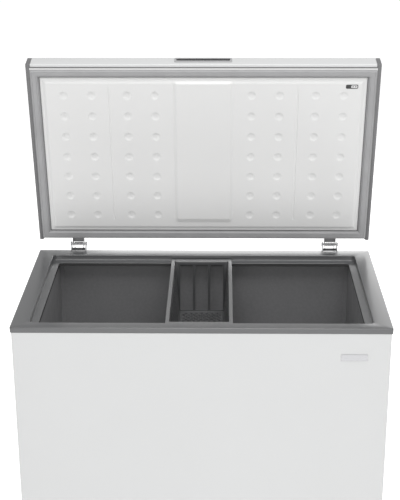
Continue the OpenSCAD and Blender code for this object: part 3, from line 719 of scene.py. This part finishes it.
def lid_label():
    """A plain mark on the inner sheet: a dark pill with a pale field and two dots."""
    x0, x1, _, _, _, _ = edges("lid_label")
    y, z = LABEL_Y, LABEL_Z
    middle, half_h = (x0 + x1) / 2, 8.0
    pill = mapped(plate([rounded([x0, x1, y - half_h, y + half_h, 5], 6)], 0.8, 0.2),
                  lambda u, v, w: (u, v, z - w))
    piece("label_pill", mesh_of("pill", pill), "black_plastic", "lid", "lid_label", place=LID_PLACE)
    field = [rounded([middle - 3, x1 - 3, y - half_h + 3, y + half_h - 3, 3], 5)]
    field += [rounded([u - 2.4, u + 2.4, y - 2.4, y + 2.4, 2.3], 5) for u in (middle + 3.5, x1 - 9)]
    pale = mapped(plate(field, 0.5, 0.1), lambda u, v, w: (u, v, z - 0.45 - w))
    piece("label_field", mesh_of("field", pale), "white_plastic", "lid", place=LID_PLACE)


def lid_end(side):
    """An end cap: a plate with round corners and a lip that reaches under the lid."""
    name = "left" if side < 0 else "right"
    y0, y1, z0 = -LID_L - 2, 5.0, 2.5
    wall = CAP_OUT - SKIN_HALF
    rim = [(y0 + 2, z0), (y1 - 2, z0), *quarter((y1 - 2, z0), (y1, z0 + 2), False, 2), (y1, LID_T - 8),
           *quarter((y1, LID_T - 8), (y1 - 8, LID_T), True, 6), (y0 + 12, LID_T),
           *quarter((y0 + 12, LID_T), (y0, LID_T - 12), False, 8), (y0, z0 + 2),
           *quarter((y0, z0 + 2), (y0 + 2, z0), True, 2)]
    face = mapped(plate([rim], wall, 1.6), lambda y, z, w: (side * (CAP_OUT - wall / 2 + w), y, z))
    lip_w = CAP_OUT - GASKET_HALF - 0.5
    lip = mapped(plate([rounded([y0 + 0.2, y1 - 0.2, -1, 4, 1.2], 3)], lip_w, 1.0),
                 lambda y, z, w: (side * (CAP_OUT - lip_w / 2 + w), y, z))
    piece(f"end_cap_{name}", mesh_of("cap", joined(face, lip)), "cap_plastic", "lid", f"lid_cap_{name}",
          place=LID_PLACE)


def grip():
    """The handle: a rounded bezel round a slot, and the pocket behind it."""
    outer = [-BEZEL_W / 2, BEZEL_W / 2, BEZEL_Z - BEZEL_H / 2, BEZEL_Z + BEZEL_H / 2, 8]
    slot = [-GRIP_W / 2, GRIP_W / 2, GRIP_Z - GRIP_H / 2, GRIP_Z + GRIP_H / 2, 6]
    front = -LID_L
    rings = rings_of(outer, [(0, 0), (0, 0.6), *quarter((0, 0.6), (1.4, 2), True, 4)])
    rings += rings_of(slot, [(-2, 2), *quarter((-2, 2), (0, 0), False, 4), (0, -3), (-1, -3), (-1, 0)])
    bezel = mapped(loft(rings, closed=True), lambda x, z, h: (x, front - h, z))
    piece("grip_bezel", mesh_of("bezel", bezel), "bezel_plastic", "lid", "handle_bezel", place=LID_PLACE)
    pocket = [(6, -GRIP_D), *quarter((6, -GRIP_D), (0, 6 - GRIP_D), False, 5), (0, -3.2), (-1.6, -3.2),
              (-1.6, -GRIP_D - 1.6)]
    cup = mapped(loft(rings_of(slot, pocket), start=True, end=True), lambda x, z, h: (x, front - h, z))
    piece("grip_pocket", mesh_of("pocket", cup), "black_plastic", "lid", "handle_cup", place=LID_PLACE)


# ---- basket ----

def basket():
    """The hanging basket: rails that rest on the ledge, slotted sides, open ends and a lattice floor."""
    x0, x1, y0, y1, low, top = edges("basket")
    cx, cy = (x0 + x1) / 2, (y0 + y1) / 2
    half = (x1 - x0) / 2 - RAIL_W + BASKET_T
    ly0, ly1 = LEDGE_HOLE[2] + 4, LEDGE_HOLE[3] - 4
    ly = (ly0 + ly1) / 2
    high = top - 2
    rail = [x0, x1, y0, y1, 6]
    mouth = [cx - half + BASKET_T, cx + half - BASKET_T, ly0 + BASKET_T, ly1 - BASKET_T, 5]
    skirt = top - 9.7
    rings = rings_of(rail, [(2.4, skirt), (0.6, skirt), (0, skirt + 0.6), (0, top - 2.4),
                            *quarter((0, top - 2.4), (2.4, top), True)])
    rings += rings_of(mouth, [(-2.4, top), *quarter((-2.4, top), (0, top - 2.4), False), (0, top - 9),
                              (-2.4, top - 9), (-2.4, top - 3)])
    rings += rings_of(rail, [(2.4, top - 3)])
    rim = loft(rings, closed=True)

    def share(z):
        return (z - low) / (high - low)

    def side_wall(side):
        slots = [rounded([ly - 265 + 20 * i, ly - 255 + 20 * i, low + 12, top - 28, 4.9], 4)
                 for i in range(27)]
        sheet = plate([rounded([ly0, ly1, low, high, 3], 3)] + slots, BASKET_T, 0.7)
        return mapped(sheet, lambda y, z, w: (
            cx + side * ((half - BASKET_T / 2) * (DRAFT_X + (1 - DRAFT_X) * share(z)) + w),
            ly + (y - ly) * (DRAFT_Y + (1 - DRAFT_Y) * share(z)), z))

    def end_wall(side):
        windows = [rounded([59 * i - 24.5, 59 * i + 24.5, low + 6, top - 17, 4], 4) for i in (-1, 0, 1)]
        foot, head = (half - 1) * DRAFT_X, half - 1
        sheet = plate([[(-foot, low), (foot, low), (head, high), (-head, high)]] + windows, BASKET_T, 0.7)
        reach = (ly1 - ly0) / 2 - BASKET_T / 2
        return mapped(sheet, lambda x, z, w: (
            cx + x, ly + side * (reach * (DRAFT_Y + (1 - DRAFT_Y) * share(z)) + w), z))

    floor_x, floor_y = half * DRAFT_X - 1, (ly1 - ly0) / 2 * DRAFT_Y - 1
    holes = []
    for j in range(-18, 19):
        for i in range(-4, 5):
            x, y = (i + (j % 2) / 2) * 20, j * 13.6
            if abs(x) < floor_x - 11 and abs(y) < floor_y - 14:
                holes.append([(x + 7.4, y), (x, y + 10.2), (x - 7.4, y), (x, y - 10.2)])
    lattice = plate([rounded([-floor_x, floor_x, -floor_y, floor_y, 4], 3)] + holes, BASKET_T, 0.7)
    lattice = mapped(lattice, lambda x, y, w: (cx + x, ly + y, low + BASKET_T / 2 + w))
    whole = joined(rim, side_wall(-1), side_wall(1), end_wall(-1), end_wall(1), lattice)
    piece("hanging_basket", mesh_of("hanging_basket", whole), "basket_plastic", "basket", "basket")


# ---- surroundings ----

FLOOR_HALF, FLOOR_GLOW, SKY = 30.0, 0.45, 0.6
# Each lamp's name, place, target, width, height and power. The lift brightens the back of the tank.
LAMPS = [
    ("key", (0.3, -1.6, 5.0), (0, 0, 0.8), 3.0, 3.0, 185),
    ("front", (0.0, -5.5, 2.0), (0, 0, 1.0), 4.0, 3.6, 80),
    ("back", (1.3, 4.5, 1.9), (1.3, 0, 1.9), 4.4, 1.5, 48),
    ("lift", (0.0, -0.1, 0.84), (0, 0.33, 1.05), 1.2, 0.12, 0.5),
]


def studio():
    """A pale floor that glows a little, a white sky and four soft lamps."""
    size = FLOOR_HALF
    mesh = bpy.data.meshes.new("floor")
    corners = [(-size, -size, 0), (size, -size, 0), (size, size, 0), (-size, size, 0)]
    mesh.from_pydata(corners, [], [(0, 1, 2, 3)])
    look = Look("floor", 0.8, specular=0.1)
    look.tint((0.94, 0.94, 0.94), (0.95, 0.95, 0.95), look.noise(1.5))
    look.shader.inputs["Emission Color"].default_value = (1, 1, 1, 1)
    look.shader.inputs["Emission Strength"].default_value = FLOOR_GLOW
    mesh.materials.append(look.material)
    floor = bpy.data.objects.new("floor", mesh)
    bpy.context.scene.collection.objects.link(floor)
    world = bpy.data.worlds.new("sky")
    world.use_nodes = True
    world.node_tree.nodes["Background"].inputs["Color"].default_value = (1, 1, 1, 1)
    world.node_tree.nodes["Background"].inputs["Strength"].default_value = SKY
    bpy.context.scene.world = world
    for name, place, target, width, height, power in LAMPS:
        lamp = bpy.data.lights.new(name, "AREA")
        lamp.shape = "RECTANGLE"
        lamp.size, lamp.size_y = width, height
        lamp.energy = power
        obj = bpy.data.objects.new(name, lamp)
        obj.location = place
        obj.rotation_euler = (Vector(target) - Vector(place)).to_track_quat("-Z", "Y").to_euler()
        obj.visible_camera = False
        if name == "lift":
            obj.visible_glossy = False
            lamp.spread = math.radians(95)
        bpy.context.scene.collection.objects.link(obj)


def camera():
    """The camera at the height and the angle of a person who stands in front of the freezer."""
    pitch, yaw, roll = (math.radians(v) for v in (CAMERA_PITCH, CAMERA_YAW, CAMERA_ROLL))
    ahead = Vector((math.sin(yaw) * math.cos(pitch), math.cos(yaw) * math.cos(pitch), -math.sin(pitch)))
    right = Vector((math.cos(yaw), -math.sin(yaw), 0))
    up = right.cross(ahead)
    turned = right * math.cos(roll) + up * math.sin(roll)
    upright = up * math.cos(roll) - right * math.sin(roll)
    data = bpy.data.cameras.new("camera")
    data.lens = CAMERA_LENS
    data.clip_end = 100
    obj = bpy.data.objects.new("camera", data)
    facing = Matrix((turned, upright, -ahead)).transposed().to_4x4()
    obj.matrix_world = Matrix.Translation(CAMERA_PLACE) @ facing
    bpy.context.scene.collection.objects.link(obj)
    bpy.context.scene.camera = obj
    bpy.context.scene.view_settings.view_transform = "Standard"


camera()
studio()
top_frame()
liner()
lid_shell()
lid_inner_sheet()
gasket()
seal_channel()
lid_label()
lid_end(-1)
lid_end(1)
grip()
basket()
